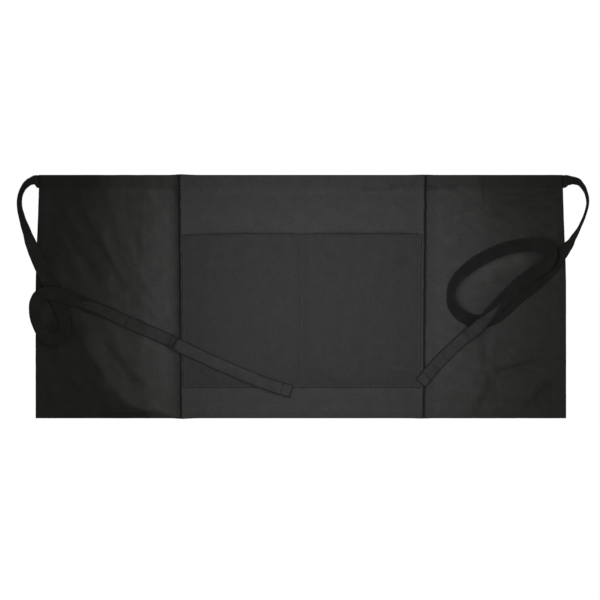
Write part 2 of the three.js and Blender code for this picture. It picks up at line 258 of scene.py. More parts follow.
# painted shade along folds: from x, y to x, y and width in mm, and how much darker; a minus sign is a paler
# stroke of painted light
paintedShadingStrokes = [
    (-408, 132, -336, 35, 16, 0.22), (-381, 164, -330, 70, 12, 0.18), (-330, 70, -297, 21, 11, 0.16),
    (-300, 90, -270, 20, 9, 0.14), (-296, 170, -286, 110, 12, 0.12), (-276, 150, -274, -10, 9, 0.13),
    (-260, 190, -258, 120, 10, 0.10), (-328, -80, -282, -141, 14, 0.27), (-282, -141, -256, -170, 13, 0.12),
    (-330, -199, -262, -201, 22, 0.27), (-262, -201, -226, -205, 12, 0.14), (-350, 202, -345, 184, 8, 0.12),
    (-290, 204, -287, 187, 8, 0.13), (-240, 204, -236, 188, 7, 0.12), (-212, 184, -207, 168, 9, 0.24),
    (-186, -112, -150, -138, 10, 0.13), (-130, 60, -128, -40, 13, 0.04), (10, -124, 52, -140, 7, 0.14),
    (45, 204, 45, 188, 4, 0.10), (100, -135, 106, -10, 11, 0.035), (165, 90, 165, -90, 15, 0.05),
    (104, 183, 157, 181, 4, 0.22), (152, 187, 176, 190, 4, 0.18), (190, 204, 189, 188, 4, 0.18),
    (214, 184, 262, 186, 5, 0.24), (275, 10, 300, 35, 34, -0.22), (308, 46, 372, 63, 25, -0.42),
    (342, 159, 440, 164, 8, 0.18), (350, 173, 440, 176, 7, 0.16), (309, -74, 311, -128, 12, 0.18),
    (319, -145, 296, -190, 15, 0.20), (333, -126, 390, -111, 13, 0.24), (415, -150, 386, -184, 15, 0.20),
]
paintedShading = {
    "wander": 6 * mm,              # how far the borders stray, in waves of wanderSize
    "wanderSize": 40 * mm,
    # from upperFoot, over upperFade, the values of the half near the waistband take over
    "upperFoot": 60 * mm,
    "upperFade": 90 * mm,
    # how much of the colour a side in painted shade loses at places from the middle in mm, near the waistband
    # and then in the lower half, and in the same order how soft its border is
    "dark": {
        "left": ([(250, 0.28), (340, 0.24), (400, 0.11), (440, -0.02)],
                 [(210, 0.50), (300, 0.44), (380, 0.32), (440, 0.12)]),
        "right": ([(300, 0.23), (420, 0.08)], [(300, 0.02), (420, -0.03)]),
    },
    "border": {"left": (46 * mm, 17 * mm), "right": (13 * mm, 50 * mm)},
    # outside halfFrom the left side has deeper painted shade still, by halfDark, down to halfFoot
    "halfFrom": -333 * mm,
    "halfSoft": 12 * mm,
    "halfDark": 0.16,
    "halfFoot": -90 * mm,
    "halfFade": 40 * mm,
    # painted light on the strips beside the creases: from x, to x, how much paler
    "paintedLitStrips": [(-267 * mm, -213 * mm, 0.16), (216 * mm, 300 * mm, 0.07)],
    "stripSoft": 7 * mm,
    # the waistband is darker: x, how much
    "bandShade": [(-240 * mm, 0.15), (-220 * mm, 0.05), (200 * mm, 0.05), (220 * mm, 0.16)],
    "bandSoft": 9 * mm,
    # painted shade just outside a crease, where the cloth turns from the light: how much below creaseFoot,
    # how much above it, and how far that reaches; inside the crease it is one amount
    "creaseShade": {"left": (0.40, 0.62, 13 * mm), "right": (0.30, 0.50, 10 * mm)},
    "creaseFoot": -90 * mm,
    "creaseFade": 60 * mm,
    "creaseInside": 0.2,
    "insideReach": 4 * mm,
    # painted light on a patch by the left edge, inside the left strap's loop: x, y, half width, half height,
    # how much paler
    "paintedLitSpot": (-433 * mm, -29 * mm, 12 * mm, 21 * mm, 0.5),
}


def paintedShadingTone(x, y):
    # painted light and shade: how much of its colour the cloth shows at a place, 1 in the middle of the panel
    stray = paintedShading["wander"] * softNoise(x, y, paintedShading["wanderSize"], 51)
    tone = np.ones_like(x * 1.0)
    upper = ease((y - paintedShading["upperFoot"]) / paintedShading["upperFade"])
    inBand = ease((y - bandFoot) / paintedShading["bandSoft"] + 0.5)
    # painted shade on each side, where the lamp's light falls off
    for side, sign in (("left", -1), ("right", 1)):
        border = np.interp(y / mm, *zip(*sorted(paintedShadeSides[side]))) * mm
        softHigh, softLow = paintedShading["border"][side]
        soft = softHigh * upper + softLow * (1 - upper)
        high, low = [np.interp(np.abs(x) / mm, *zip(*table)) for table in paintedShading["dark"][side]]
        dark = high * upper + low * (1 - upper)
        tone -= dark * ease(0.5 + ((x - border) * sign + stray) / soft)
    # deeper painted shade at the far left
    outer = ease(0.5 + (paintedShading["halfFrom"] - x + stray) / paintedShading["halfSoft"])
    tone -= paintedShading["halfDark"] * outer * ease((y - paintedShading["halfFoot"]) / paintedShading["halfFade"])
    # painted light on the strips beside the creases
    for low, high, paler in paintedShading["paintedLitStrips"]:
        inside = np.minimum(x - low, high - x) + stray * 0.5
        tone += paler * ease(0.5 + inside / paintedShading["stripSoft"]) * (1 - inBand)
    # painted shade along folds, and painted light where a stroke is paler
    for fromX, fromY, toX, toY, wide, darker in paintedShadingStrokes:
        _, away = alongLine(x, y, (fromX * mm, fromY * mm), (toX * mm, toY * mm))
        tone *= 1 - darker * ease(1 - (away + stray * 0.4) / (wide * mm))
    # the waistband is darker
    tone *= 1 - inBand * np.interp(x, *zip(*paintedShading["bandShade"]))
    # painted shade just outside each crease, and a little inside it
    for side, (share, _) in zip(("left", "right"), creases):
        outward = pastCrease(x, y, share)
        low, high, reach = paintedShading["creaseShade"][side]
        raised = ease((y - paintedShading["creaseFoot"]) / paintedShading["creaseFade"])
        outside = (low + (high - low) * raised) * ease(1 - outward / reach)
        inside = paintedShading["creaseInside"] * ease(1 + outward / paintedShading["insideReach"])
        tone *= 1 - np.where(outward > 0, outside, inside)
    # painted light on a patch by the left edge
    spotX, spotY, spotWide, spotHigh, paler = paintedShading["paintedLitSpot"]
    away = np.hypot((x - spotX) / spotWide, (y - spotY) / spotHigh)
    return tone * (1 + paler * ease(1.3 - away))


def puckers(x, y):
    # small gathers along the seams of the panel
    nearest = np.abs(np.abs(x) - innerEdge)
    for at in (bandFoot, hemTop, pocketLow.y, pocketHigh.y):
        nearest = np.minimum(nearest, np.abs(y - at))
    return lie["pucker"] * ease(1 - nearest / lie["puckerReach"]) * softNoise(x, y, 11 * mm, 31)


def drawnIn(x, y):
    # where a point of the flat cloth lies, seen from above
    outerHalf = ease((np.abs(x) / halfWidth - 0.5) / 0.5)
    lean = 0.0 * x
    for share, _ in creases:
        nearCrease = ease(1 - np.abs(x - share * panelWidth) / lie["creaseHold"])
        lean = lean + math.copysign(lie["creaseLean"], share) * y * nearCrease
    return x + lean - np.sign(x) * lie["drawIn"] * outerHalf * ease(1 - (top - y) / lie["drawInReach"])


def panelUnder(x, y):
    # the height of the panel's underside
    pastHem = np.minimum(innerEdge - np.abs(x), np.minimum(bandFoot - y, y - hemTop))
    sides = ease((np.abs(x) / halfWidth - 0.44) / 0.12)
    uneven = lie["unevenness"] * (0.5 + sides) * (1.6 + softNoise(x, y, 34 * mm, 4))
    waves = np.where(x < 0, streaks(x, y, *lie["wavesLeft"]), streaks(x, y, *lie["wavesRight"]))
    wrinkled = lie["crumple"] * (0.15 + sides) * waves * ease(pastHem / (14 * mm) + 0.35)
    height = lie["hemRoom"] * ease(1 - pastHem / lie["hemFade"]) + creaseHeight(x, y) + uneven
    height += foldHeight(x, y, softFolds) + foldHeight(x, y, fineFolds) + wrinkled + puckers(x, y)
    # nothing sinks into the floor, and the edges stay clear of their turnings
    room = lie["hemRoom"] - lie["floorRoom"] - lie["turningRoom"]
    least = lie["floorRoom"] + room * ease(1 - pastHem / (4 * mm))
    over = height - least
    return least + 0.5 * (over + np.sqrt(over**2 + lie["floorSoft"] ** 2))


def panelTop(x, y):
    return panelUnder(x, y) + lie["clothThickness"]


pocket = {
    "seamMargin": 5 * mm,
    "depth": 3.6 * mm,            # how far each compartment stands open
    "openReach": 70 * mm,
    "mouthHem": 11.5 * mm,
    "mouthExtra": 0.8 * mm,
    # the mouth hangs lower at its two ends: how much, and how far in from the end
    "sagLeft": (2.8 * mm, 130 * mm),
    "sagRight": (1.6 * mm, 9 * mm),
    "sagDepth": 45 * mm,
    "mouthShadowStrength": (0.34, 0.60),  # how dark the painted shadow line along the mouth is at its left and right
    "mouthShadowLine": 1.2 * mm,
    "divider": 2.2 * mm,           # x of the divider stitch
    # long soft waves: height, spacing, length, direction in radians, seed
    "waves": [(0.40 * mm, 34 * mm, 200 * mm, 0.05, 41), (0.16 * mm, 18 * mm, 40 * mm, 1.2, 44)],
    "gathers": 0.30 * mm,
    "gatherReach": 12 * mm,
    "foldReach": 7 * mm,
    # small folds near the edges: from x, to x, their y at each end, and their height
    "folds": [
        (11 * mm, 50 * mm, (-126 * mm, -140 * mm), 1.3 * mm),
        (-176 * mm, -150 * mm, (-112 * mm, -138 * mm), 1.0 * mm),
        (-197 * mm, -178 * mm, (75 * mm, 72 * mm), 0.8 * mm),
        (-197 * mm, -176 * mm, (37 * mm, 33 * mm), 0.8 * mm),
        (150 * mm, 196 * mm, (-118 * mm, -126 * mm), 0.9 * mm),
    ],
}
hemLine = pocketHigh.y - pocket["mouthHem"]


def mouthSag(x, y):
    # how much lower the mouth lies towards its ends than at its middle
    (left, leftReach), (right, rightReach) = pocket["sagLeft"], pocket["sagRight"]
    sag = left * np.clip(1 - (x - pocketLow.x) / leftReach, 0, 1) ** 2
    sag += right * ease(1 - (pocketHigh.x - x) / rightReach)
    return sag * ease(1 - (pocketHigh.y - y) / pocket["sagDepth"])


def pocketOpen(x, y):
    # how high a compartment's front stands off its back: nothing at its seams, most at its mouth
    left = np.where(x < pocket["divider"], pocketLow.x, pocket["divider"])
    right = np.where(x < pocket["divider"], pocket["divider"], pocketHigh.x)
    margin = pocket["seamMargin"] / (right - left)
    across = np.clip(((x - left) / (right - left) - margin) / (1 - 2 * margin), 0, 1)
    up = np.clip((y - pocketLow.y - pocket["seamMargin"]) / pocket["openReach"], 0, 1)
    return pocket["depth"] * (1 - np.abs(2 * across - 1) ** 4) * (1 - (1 - up) ** 3)


def pocketUnder(x, y):
    # the height of the pocket's underside, with soft waves, small folds and gathers at the seams
    standing = pocketOpen(x, y)
    waves = 0.0 * x
    for height, spacing, length, direction, seed in pocket["waves"]:
        waves += height * (1 + streaks(x, y, spacing, length, direction, seed))
    for fromX, toX, atY, rise in pocket["folds"]:
        along = np.clip((x - fromX) / (toX - fromX), 0, 1)
        away = np.hypot(x - fromX - along * (toX - fromX), y - atY[0] - along * (atY[1] - atY[0]))
        waves += rise * ease(1 - away / pocket["foldReach"]) * np.sin(math.pi * (0.15 + 0.7 * along))
    nearSeam = np.maximum(ease(1 - (y - pocketLow.y) / pocket["gatherReach"]),
                          0.5 * ease(1 - np.abs(y - hemLine) / pocket["foldReach"]))
    gathers = pocket["gathers"] * nearSeam * (1 + softNoise(x, y * 0.3, 9 * mm, 47))
    free = np.clip(standing / (2 * mm), 0.15, 1)
    return panelTop(x, y) + lie["seamGap"] + standing + waves * free + gathers


def pocketThickness(x, y):
    inHem = ease((y - hemLine) / (1.2 * mm) + 0.5)
    return lie["clothThickness"] + pocket["mouthExtra"] * inHem


def pocketTop(x, y):
    return pocketUnder(x, y) + pocketThickness(x, y)


def putInScene(name, data):
    thing = bpy.data.objects.new(name, data)
    bpy.context.scene.collection.objects.link(thing)
    return thing


def newObject(name, points, faces, uv=None, edges=()):
    mesh = bpy.data.meshes.new(name)
    mesh.from_pydata([tuple(p) for p in points], edges, faces)
    if uv is not None:
        layer = mesh.uv_layers.new(name="cloth")
        for loop in mesh.loops:
            layer.data[loop.index].uv = uv[loop.vertex_index]
    for polygon in mesh.polygons:
        polygon.use_smooth = True
    mesh.update()
    return putInScene(name, mesh)


def addValues(thing, name, values):
    # a value at each point, which the material reads by its name
    layer = thing.data.attributes.new(name, "FLOAT", "POINT")
    layer.data.foreach_set("value", np.asarray(values, dtype=np.float32))


def standingOut(height):
    # how far each point stands above or below the cloth round it, from -1 to 1: crests get paler from wear
    # and painted highlight, hollows get painted shade
    level = height
    for _ in range(3):
        for axis in (0, 1):
            pad = [(1, 1) if a == axis else (0, 0) for a in (0, 1)]
            wide = np.pad(level, pad, "edge")
            level = np.lib.stride_tricks.sliding_window_view(wide, 3, axis).mean(-1)
    return np.tanh((height - level) / lie["wornAndShadedRise"])


def clothSheet(name, columns, rows, under, thickness, pressed=None, sag=None):
    # a closed sheet between its under face and its upper face, with a softened edge
    x, y = np.meshgrid(columns, rows)
    low = under(x, y)
    thick = thickness(x, y) if callable(thickness) else np.full_like(x, thickness)
    rim = np.ones_like(x)
    rim[1:-1, 1:-1] = 0
    softened = rim * thick * lie["rimSoftness"]
    high = low + thick - softened
    low = low + softened
    flatX = drawnIn(x, y)
    flatY = y if sag is None else y - sag(x, y)
    points = [np.column_stack([flatX.ravel(), flatY.ravel(), face.ravel()]) for face in (low, high)]
    count = x.size
    index = np.arange(count).reshape(x.shape)
    a, b, c, d = index[:-1, :-1], index[:-1, 1:], index[1:, 1:], index[1:, :-1]
    upper = np.stack([a, b, c, d], -1).reshape(-1, 4) + count
    lower = np.stack([a, d, c, b], -1).reshape(-1, 4)
    loop = np.concatenate([index[0, :], index[1:, -1], index[-1, -2::-1], index[-2:0:-1, 0]])
    after = np.roll(loop, -1)
    wall = np.stack([loop, after, after + count, loop + count], -1)
    uv = np.column_stack([x.ravel(), y.ravel()])
    thing = newObject(name, np.concatenate(points), np.concatenate([upper, lower, wall]).tolist(),
                      np.concatenate([uv, uv]))
    # each point's painted shade along the rim, creases and folds, its paler crests from wear and painted
    # highlight with shaded hollows, and its painted light and shade across the panel
    addValues(thing, "pressed", np.tile((rim if pressed is None else pressed(x, y, rim)).ravel(), 2))
    addValues(thing, "wornAndShaded", np.tile(standingOut(low).ravel(), 2))
    addValues(thing, "tone", np.tile(paintedShadingTone(x, y).ravel(), 2))
    return thing


# Panel, with close lines of points where an edge, a hem or a crease turns
panelStep = 3.1 * mm
edgeStep = 1.5 * mm
creaseKeys = [share * panelWidth + math.copysign(d, share) * mm
              for share, _ in creases for d in (-4, -1.6, -0.4, 0.3, 1.0, 1.7, 2.4, 3.6, 6)]
panelColumns = gridLines(
    [-halfWidth, edgeStep - halfWidth, -innerEdge, innerEdge, halfWidth - edgeStep, halfWidth,
     pocketLow.x, pocketHigh.x, pocket["divider"], *creaseKeys], panelStep)
panelRows = gridLines(
    [bottom, bottom + edgeStep, hemTop, pocketLow.y, pocketHigh.y, bandFoot, top - edgeStep, top], panelStep)
# painted shade along the panel's cut edges and in the grooves beside the creases
panelCloth = clothSheet("panelCloth", panelColumns, panelRows, panelUnder, lie["clothThickness"],
                        lambda x, y, rim: np.maximum(rim, grooves(x, y)))
print("panel", len(panelCloth.data.polygons), "faces")


# Pocket
def mouthShadowLine(x, y):
    # painted shadow along the mouth's edge, darkest towards the right
    low, high = pocket["mouthShadowStrength"]
    hard = low + (high - low) * ease((x + 20 * mm) / (160 * mm)) + 0.10 * softNoise(x, 0 * y, 60 * mm, 71)
    return hard * np.clip(1.9 - (pocketHigh.y - y) / pocket["mouthShadowLine"], 0, 1)


pocketStep = 2.9 * mm
rimStep = 1.3 * mm
margin = pocket["seamMargin"]
pocketColumns = gridLines(
    [pocketLow.x, pocketLow.x + rimStep, pocketLow.x + margin, pocket["divider"] - edgeStep,
     pocket["divider"], pocket["divider"] + edgeStep, pocketHigh.x - margin, pocketHigh.x - rimStep,
     pocketHigh.x], pocketStep)
pocketRows = gridLines(
    [pocketLow.y, pocketLow.y + rimStep, pocketLow.y + margin, hemLine - 1 * mm, hemLine, hemLine + 1 * mm,
     pocketHigh.y - 2.2 * mm, pocketHigh.y - 0.8 * mm, pocketHigh.y], pocketStep)
# painted shade along the pocket's edges and as a shadow line under its mouth
pocketCloth = clothSheet(
    "pocketCloth", pocketColumns, pocketRows, pocketUnder, pocketThickness,
    lambda x, y, rim: rim * 0.9 + (1 - rim) * mouthShadowLine(x, y), mouthSag)
print("pocket", len(pocketCloth.data.polygons), "faces")


# Turned edges, each a second layer under the panel: from x, to x, from y, to y
sideFoot = hemTop + lie["seamGap"]
sideHead = bandFoot - lie["seamGap"]
turned = {
    "waistbandTurning": (-innerEdge, innerEdge, bandFoot, top),
    "bottomTurning": (-halfWidth, halfWidth, bottom, hemTop),
    "leftTurning": (-halfWidth, -innerEdge, sideFoot, sideHead),
    "rightTurning": (innerEdge, halfWidth, sideFoot, sideHead),
}
turnedStep = 4 * mm
turnedThickness = 0.8 * mm


def turnedUnder(x, y):
    return panelUnder(x, y) - 0.1 * mm - turnedThickness


turnings = {}
for name, (fromX, toX, fromY, toY) in turned.items():
    turnedColumns = gridLines([fromX, toX, *[k for k in creaseKeys if fromX < k < toX]], turnedStep)
    turnedRows = gridLines([fromY, toY], turnedStep)
    turnings[name] = clothSheet(name, turnedColumns, turnedRows, turnedUnder, turnedThickness)
print("turnings", len(turnings))


# Ties: the route's points are shares of the panel's width and height from its middle, and the
# roll about the strap's own line in degrees: 0 flat, 90 on edge
rightRoute = [
    (0.506, 0.474, 54), (0.516, 0.472, 67), (0.527, 0.455, 86), (0.5355, 0.420, 95),
    (0.538, 0.385, 97), (0.535, 0.350, 96), (0.525, 0.294, 92), (0.510, 0.237, 76),
    (0.498, 0.201, 50), (0.484, 0.161, 18), (0.4545, 0.076, 0), (0.408, -0.007, 0),
    (0.3615, -0.091, 0), (0.331, -0.101, -2), (0.306, -0.084, -22), (0.286, -0.045, -48),
    (0.2805, 0.007, -60), (0.288, 0.062, -50), (0.309, 0.108, -32), (0.335, 0.148, -18),
    (0.379, 0.193, -12), (0.430, 0.214, -10), (0.455, 0.207, -12), (0.467, 0.178, -12),
    (0.461, 0.134, -4), (0.4185, 0.065, 0), (0.385, -0.004, 0), (0.363, -0.056, 0),
    (0.3445, -0.098, 0), (0.299, -0.186, 0), (0.248, -0.296, 0), (0.225, -0.354, 0),
]
leftRoute = [
    (-0.505, 0.471, -66), (-0.513, 0.460, -76), (-0.521, 0.438, -86), (-0.526, 0.410, -88),
    (-0.527, 0.372, -85), (-0.523, 0.330, -78), (-0.514, 0.268, -64), (-0.504, 0.208, -44),
    (-0.495, 0.156, -20), (-0.476, 0.060, -4), (-0.453, -0.051, 0), (-0.4445, -0.115, 2),
    (-0.449, -0.155, 12), (-0.463, -0.175, 26), (-0.4805, -0.160, 42), (-0.4935, -0.115, 52),
    (-0.4995, -0.066, 55), (-0.497, -0.018, 46), (-0.487, 0.008, 26), (-0.468, 0.014, 6),
    (-0.449, 0.005, 0), (-0.430, -0.012, 0), (-0.417, -0.024, 0), (-0.402, -0.038, 0),
    (-0.372, -0.061, 0), (-0.328, -0.104, 0), (-0.251, -0.177, 0), (-0.192, -0.240, 0),
    (-0.112, -0.317, 0), (-0.057, -0.364, 0), (-0.018, -0.390, 0),
]
tie = {
    "width": 21.8 * mm,
    "thickness": 1.3 * mm,
    "step": 2.6 * mm,
    "slope": 0.4,                 # climbs over what it crosses no steeper than this
    "crossingLength": 65 * mm,    # a stretch further back than this is crossed
    "freeOfPanel": 60 * mm,       # clear of the panel's corner after this length
    "rootOverhang": 1 * mm,
    "rootDrop": 11.2 * mm,
    "endHem": 16 * mm,
    "seamShare": 0.78,            # the rows of stitches, as a share of the half width
    "seamFrom": 10,               # and the first station that they reach
    # sharp folds across each strap: how far before its end in mm, how deep, and how wide in mm
    "crossFolds": {
        "left": [(214, 1.0, 6), (223, 0.8, 4), (303, 0.8, 3), (276, 0.3, 4), (345, 0.3, 4), (150, 0.2, 4)],
        "right": [(38, 0.25, 5), (61, 0.3, 5), (84, 0.25, 5), (112, 0.45, 7), (140, 0.3, 8)],
    },
    # each strap carries painted light only towards its end, where it faces the lamp; the lit part begins in a
    # wedge: how far before the end its point lies, and where it has reached each edge, and the point's place
    # across
    "paintedLit": {
        "left": (398 * mm, 300 * mm, 372 * mm, -0.45),
        "right": (199 * mm, 134 * mm, 128 * mm, 0.25),
    },
    # the painted shade of the rest, less deep towards the sides to make up for the lamp's falloff: place from
    # the middle in mm, and its share of the lit colour
    "paintedShadeLevel": {
        "left": [(250, 0.38), (340, 0.47), (390, 0.66), (420, 0.85), (450, 1.0)],
        "right": [(250, 0.27), (330, 0.38), (400, 0.53), (440, 0.80), (468, 0.92)],
    },
    # how far the middle bellies out where the strap stands on edge, and the length that it takes
    "belly": {"left": 2.6 * mm, "right": 0.9 * mm},
    "bellyFrom": 22 * mm,
}


def centripetal(points, perSpan):
    # a smooth curve through the points, with perSpan steps in each span
    pts = [2 * points[0] - points[1], *points, 2 * points[-1] - points[-2]]
    found = []
    for i in range(1, len(pts) - 2):
        p0, p1, p2, p3 = pts[i - 1 : i + 3]
        t1 = np.linalg.norm(p1 - p0) ** 0.5
        t2 = t1 + np.linalg.norm(p2 - p1) ** 0.5
        t3 = t2 + np.linalg.norm(p3 - p2) ** 0.5
        for k in range(perSpan[i - 1]):
            t = t1 + (t2 - t1) * k / perSpan[i - 1]
            a1 = (t1 - t) / t1 * p0 + t / t1 * p1
            a2 = (t2 - t) / (t2 - t1) * p1 + (t - t1) / (t2 - t1) * p2
            a3 = (t3 - t) / (t3 - t2) * p2 + (t - t2) / (t3 - t2) * p3
            b1 = (t2 - t) / t2 * a1 + t / t2 * a2
            b2 = (t3 - t) / (t3 - t1) * a2 + (t - t1) / (t3 - t1) * a3
            found.append((t2 - t) / (t2 - t1) * b1 + (t - t1) / (t2 - t1) * b2)
    return np.array([*found, points[-1]])


clothTrees = [
    BVHTree.FromPolygons([v.co for v in mesh.vertices], [tuple(p.vertices) for p in mesh.polygons])
    for mesh in (pocketCloth.data, panelCloth.data)
]


def supportHeight(x, y):
    # the highest cloth at a place, or the floor
    for tree in clothTrees:
        hit = tree.ray_cast(Vector((x, y, 1)), Vector((0, 0, -1)))
        if hit[0] is not None:
            return hit[0].z + lie["seamGap"]
    return 0.0


def layTie(side, route):
    # stations along a strap, each as high as what lies under it and earlier stretches need
    rootY = top - tie["rootDrop"]
    cornerX = abs(float(drawnIn(np.array(halfWidth), rootY)))
    table = [(side * (cornerX + lie["seamGap"] - lie["sideHem"]), rootY, 0),
             (side * (cornerX + tie["rootOverhang"]), rootY, 0)]
    table += [(x * panelWidth, y * panelHeight, roll) for x, y, roll in route]
    points = np.array([row[:2] for row in table])
    spans = np.linalg.norm(np.diff(points, axis=0), axis=1)
    perSpan = [max(2, math.ceil(span / tie["step"])) for span in spans]
    places = centripetal(points, perSpan)
    roll = []
    inRoot = []
    for i, parts in enumerate(perSpan):
        for k in range(parts):
            roll.append(table[i][2] + (table[i + 1][2] - table[i][2]) * float(ease(k / parts)))
            inRoot.append(i == 0)
    roll = np.radians([*roll, table[-1][2]])
    inRoot = np.array([*inRoot, False])
    inRoot[perSpan[0]] = True
    along = np.gradient(places, axis=0)
    along /= np.linalg.norm(along, axis=1)[:, None]
    travelled = np.concatenate([[0], np.cumsum(np.linalg.norm(np.diff(places, axis=0), axis=1))])
    sin = np.abs(np.sin(roll))
    cos = np.abs(np.cos(roll))
    halfAcross = (tie["width"] * cos + tie["thickness"] * sin) / 2
    halfHeight = (tie["width"] * sin + tie["thickness"] * cos) / 2
    resting = np.zeros(len(places))
    normal = np.column_stack([-along[:, 1], along[:, 0]])

    def spots(i):
        # places under a station and just before and after it
        return [places[i] + normal[i] * a * halfAcross[i] + along[i] * b * tie["step"] * 2
                for a in (-1, -0.5, 0, 0.5, 1) for b in (-1, 0, 1)]

    for i in np.flatnonzero(travelled >= tie["freeOfPanel"]):
        resting[i] = max(supportHeight(*spot) for spot in spots(i))

    def settled(need):
        # no steeper than the strap's own stiffness lets it
        apart = np.abs(travelled[:, None] - travelled[None, :])
        lifts = np.where(inRoot[None, :], 0, need[None, :] - tie["slope"] * apart)
        return np.where(inRoot, need, lifts.max(1))

    base = settled(resting)
    for i in range(len(places)):
        before = np.flatnonzero(travelled < travelled[i] - tie["crossingLength"])
        if not len(before):
            continue
        for spot in spots(i):
            near = before[np.linalg.norm(places[before] - spot, axis=1) < halfAcross[before] + tie["step"]]
            if len(near):
                over = (base[near] + 2 * halfHeight[near]).max() + lie["seamGap"]
                resting[i] = max(resting[i], over)
    base = settled(resting)
    smooth = np.convolve(np.pad(base, 3, "edge"), np.ones(7) / 7, "valid")
    base = np.where(inRoot, base, np.maximum(base, smooth))
    return {"places": places, "normal": normal, "roll": roll,
            "z": base + halfHeight, "travelled": travelled}


def strapPoint(laid, i, share, out):
    # where a point of the strap lies: share of its half width from its middle, out from its face
    half = tie["width"] / 2
    roll = laid["roll"][i]
    across = share * half * math.cos(roll) - out * math.sin(roll)
    rise = share * half * math.sin(roll) + out * math.cos(roll)
    (x, y), (nx, ny) = laid["places"][i], laid["normal"][i]
    return (x + nx * across, y + ny * across, laid["z"][i] + rise)


def belly(side, laid, i):
    # how far the middle of the strap bellies out at a station
    sin = math.sin(laid["roll"][i])
    return -math.copysign(tie["belly"][side], sin) * sin**4


def paintedLitShare(side, toEnd, share):
    # 1 where the strap carries painted light and 0 where it lies in painted shade
    start, lowFull, highFull, tip = tie["paintedLit"][side]
    low = tip - (1.1 + tip) * (start - toEnd) / (start - lowFull)
    high = tip + (1.1 - tip) * (start - toEnd) / (start - highFull)
    return float(ease((high - share) / 0.2) * ease((share - low) / 0.2)) if toEnd < start else 0.0


def tieStrap(side, laid):
    # rounded edges, and a groove where each row of stitches pulls the layers together
    profile = [(0, 1), (0.15, 1), (0.3, 1), (0.45, 1), (0.6, 0.96), (0.74, 0.8), (0.82, 0.92),
               (0.93, 0.76), (1, 0.15)]
    profile = [(-s, h) for s, h in profile[:0:-1]] + profile
    ring = [(s, h * tie["thickness"] / 2) for s, h in profile]
    ring += [(s, -h) for s, h in ring[-2:0:-1]]
    points = []
    uv = []
    pressed = []
    tone = []
    stations = len(laid["places"])
    toEnd = laid["travelled"][-1] - laid["travelled"]
    for i in range(stations):
        thicker = 1.25 if toEnd[i] < tie["endHem"] else 1
        folds = [depth * max(0, 1 - abs(toEnd[i] / mm - at) / wide)
                 for at, depth, wide in tie["crossFolds"][side]]
        folds.append(0.8 * max(0, 1 - abs(toEnd[i] - tie["endHem"]) / (2.0 * mm)))
        folded = max(folds)
        grown = float(ease(laid["travelled"][i] / tie["bellyFrom"] - 0.4))
        for share, thick in ring:
            bellied = grown * belly(side, laid, i) * (0.6 - share**2)
            out = thick * thicker + bellied - thick * 0.8 * folded
            points.append(strapPoint(laid, i, share, out))
            uv.append((share * tie["width"] / 2, laid["travelled"][i]))
            # painted light where the strap faces the lamp and painted shade on the rest, less deep towards
            # the sides for the lamp's falloff; painted shade on the edges and folds of the lit part
            paintedLit = paintedLitShare(side, toEnd[i], share)
            paintedShadeLevel = float(np.interp(abs(points[-1][0]) / mm, *zip(*tie["paintedShadeLevel"][side])))
            tone.append(paintedShadeLevel + (1 - paintedShadeLevel) * paintedLit)
            edge = 1.0 if abs(share) > 0.9 or i in (0, stations - 1) else 0.4 * (share < -0.8)
            pressed.append(paintedLit * max(edge, folded))
    n = len(ring)
    faces = []
    for i in range(stations - 1):
        for k in range(n):
            a, b = i * n + k, i * n + (k + 1) % n
            faces.append((b, a, a + n, b + n))
    faces.append(tuple(range(n)))
    faces.append(tuple(reversed(range(len(points) - n, len(points)))))
    strap = newObject(f"{side}Strap", points, faces, uv)
    addValues(strap, "pressed", pressed)
    addValues(strap, "tone", tone)
    addValues(strap, "wornAndShaded", np.zeros(len(points)))
    return strap


laidRight = layTie(1, rightRoute)
laidLeft = layTie(-1, leftRoute)
rightStrap = tieStrap("right", laidRight)
leftStrap = tieStrap("left", laidLeft)
print("ties", round(laidRight["travelled"][-1], 3), round(laidLeft["travelled"][-1], 3), "m")


# Materials
def colour(hexText):
    channels = [int(hexText[i : i + 2], 16) / 255 for i in (1, 3, 5)]
    linear = [c / 12.92 if c <= 0.04045 else ((c + 0.055) / 1.055) ** 2.4 for c in channels]
    return (*linear, 1)


def addNode(tree, kind, settings=None, links=None):
    # one node: settings go to its inputs or else its properties, links join its inputs
    node = tree.nodes.new(kind)
    for key, value in (settings or {}).items():
        if isinstance(key, str) and hasattr(node, key):
            setattr(node, key, value)
        else:
            node.inputs[key].default_value = value
    for key, source in (links or {}).items():
        tree.links.new(source, node.inputs[key])
    return node


def blankMaterial(name):
    material = bpy.data.materials.new(name)
    material.use_nodes = True
    tree = material.node_tree
    tree.nodes.clear()
    return material, tree


# Cotton twill, dyed black and washed: matt, mottled where it has been handled, with painted shade along
# edges, folds, creases and the sides of the panel and painted light where it faces the lamp, and a faint
# bloom of fibres at a low angle
twill = {
    "rib": 2.6 * mm,              # drawn coarse: the real ribs are about 0.7 mm apart
    "slubWidth": 1.9 * mm,        # drawn coarse: uneven yarns, really about 0.4 mm thick
    "slubLength": 16 * mm,
    "mottle": 24 * mm,
    "grain": 2.3256 * mm,         # drawn coarse: the fuzz of the fibres
    "roughness": 0.88,
    "sheen": 0.08,
    "pressed": 0.36,              # what is left of the colour under the painted shade along edges, folds and creases
    "wornAndShaded": 0.09,                 # how much the crests of wrinkles are paler, from wear and painted highlight, and the hollows darker with painted shade
}


def yarns(tree, where, width, length):
    # uneven yarns that run along the second of the two directions
    stretched = addNode(tree, "ShaderNodeMapping", {"Scale": (1 / width, 1 / length, 1)}, {"Vector": where})
    return addNode(tree, "ShaderNodeTexNoise", {"Scale": 1.0, "Detail": 2.0, "Roughness": 0.6},
                   {"Vector": stretched.outputs[0]}).outputs[0]


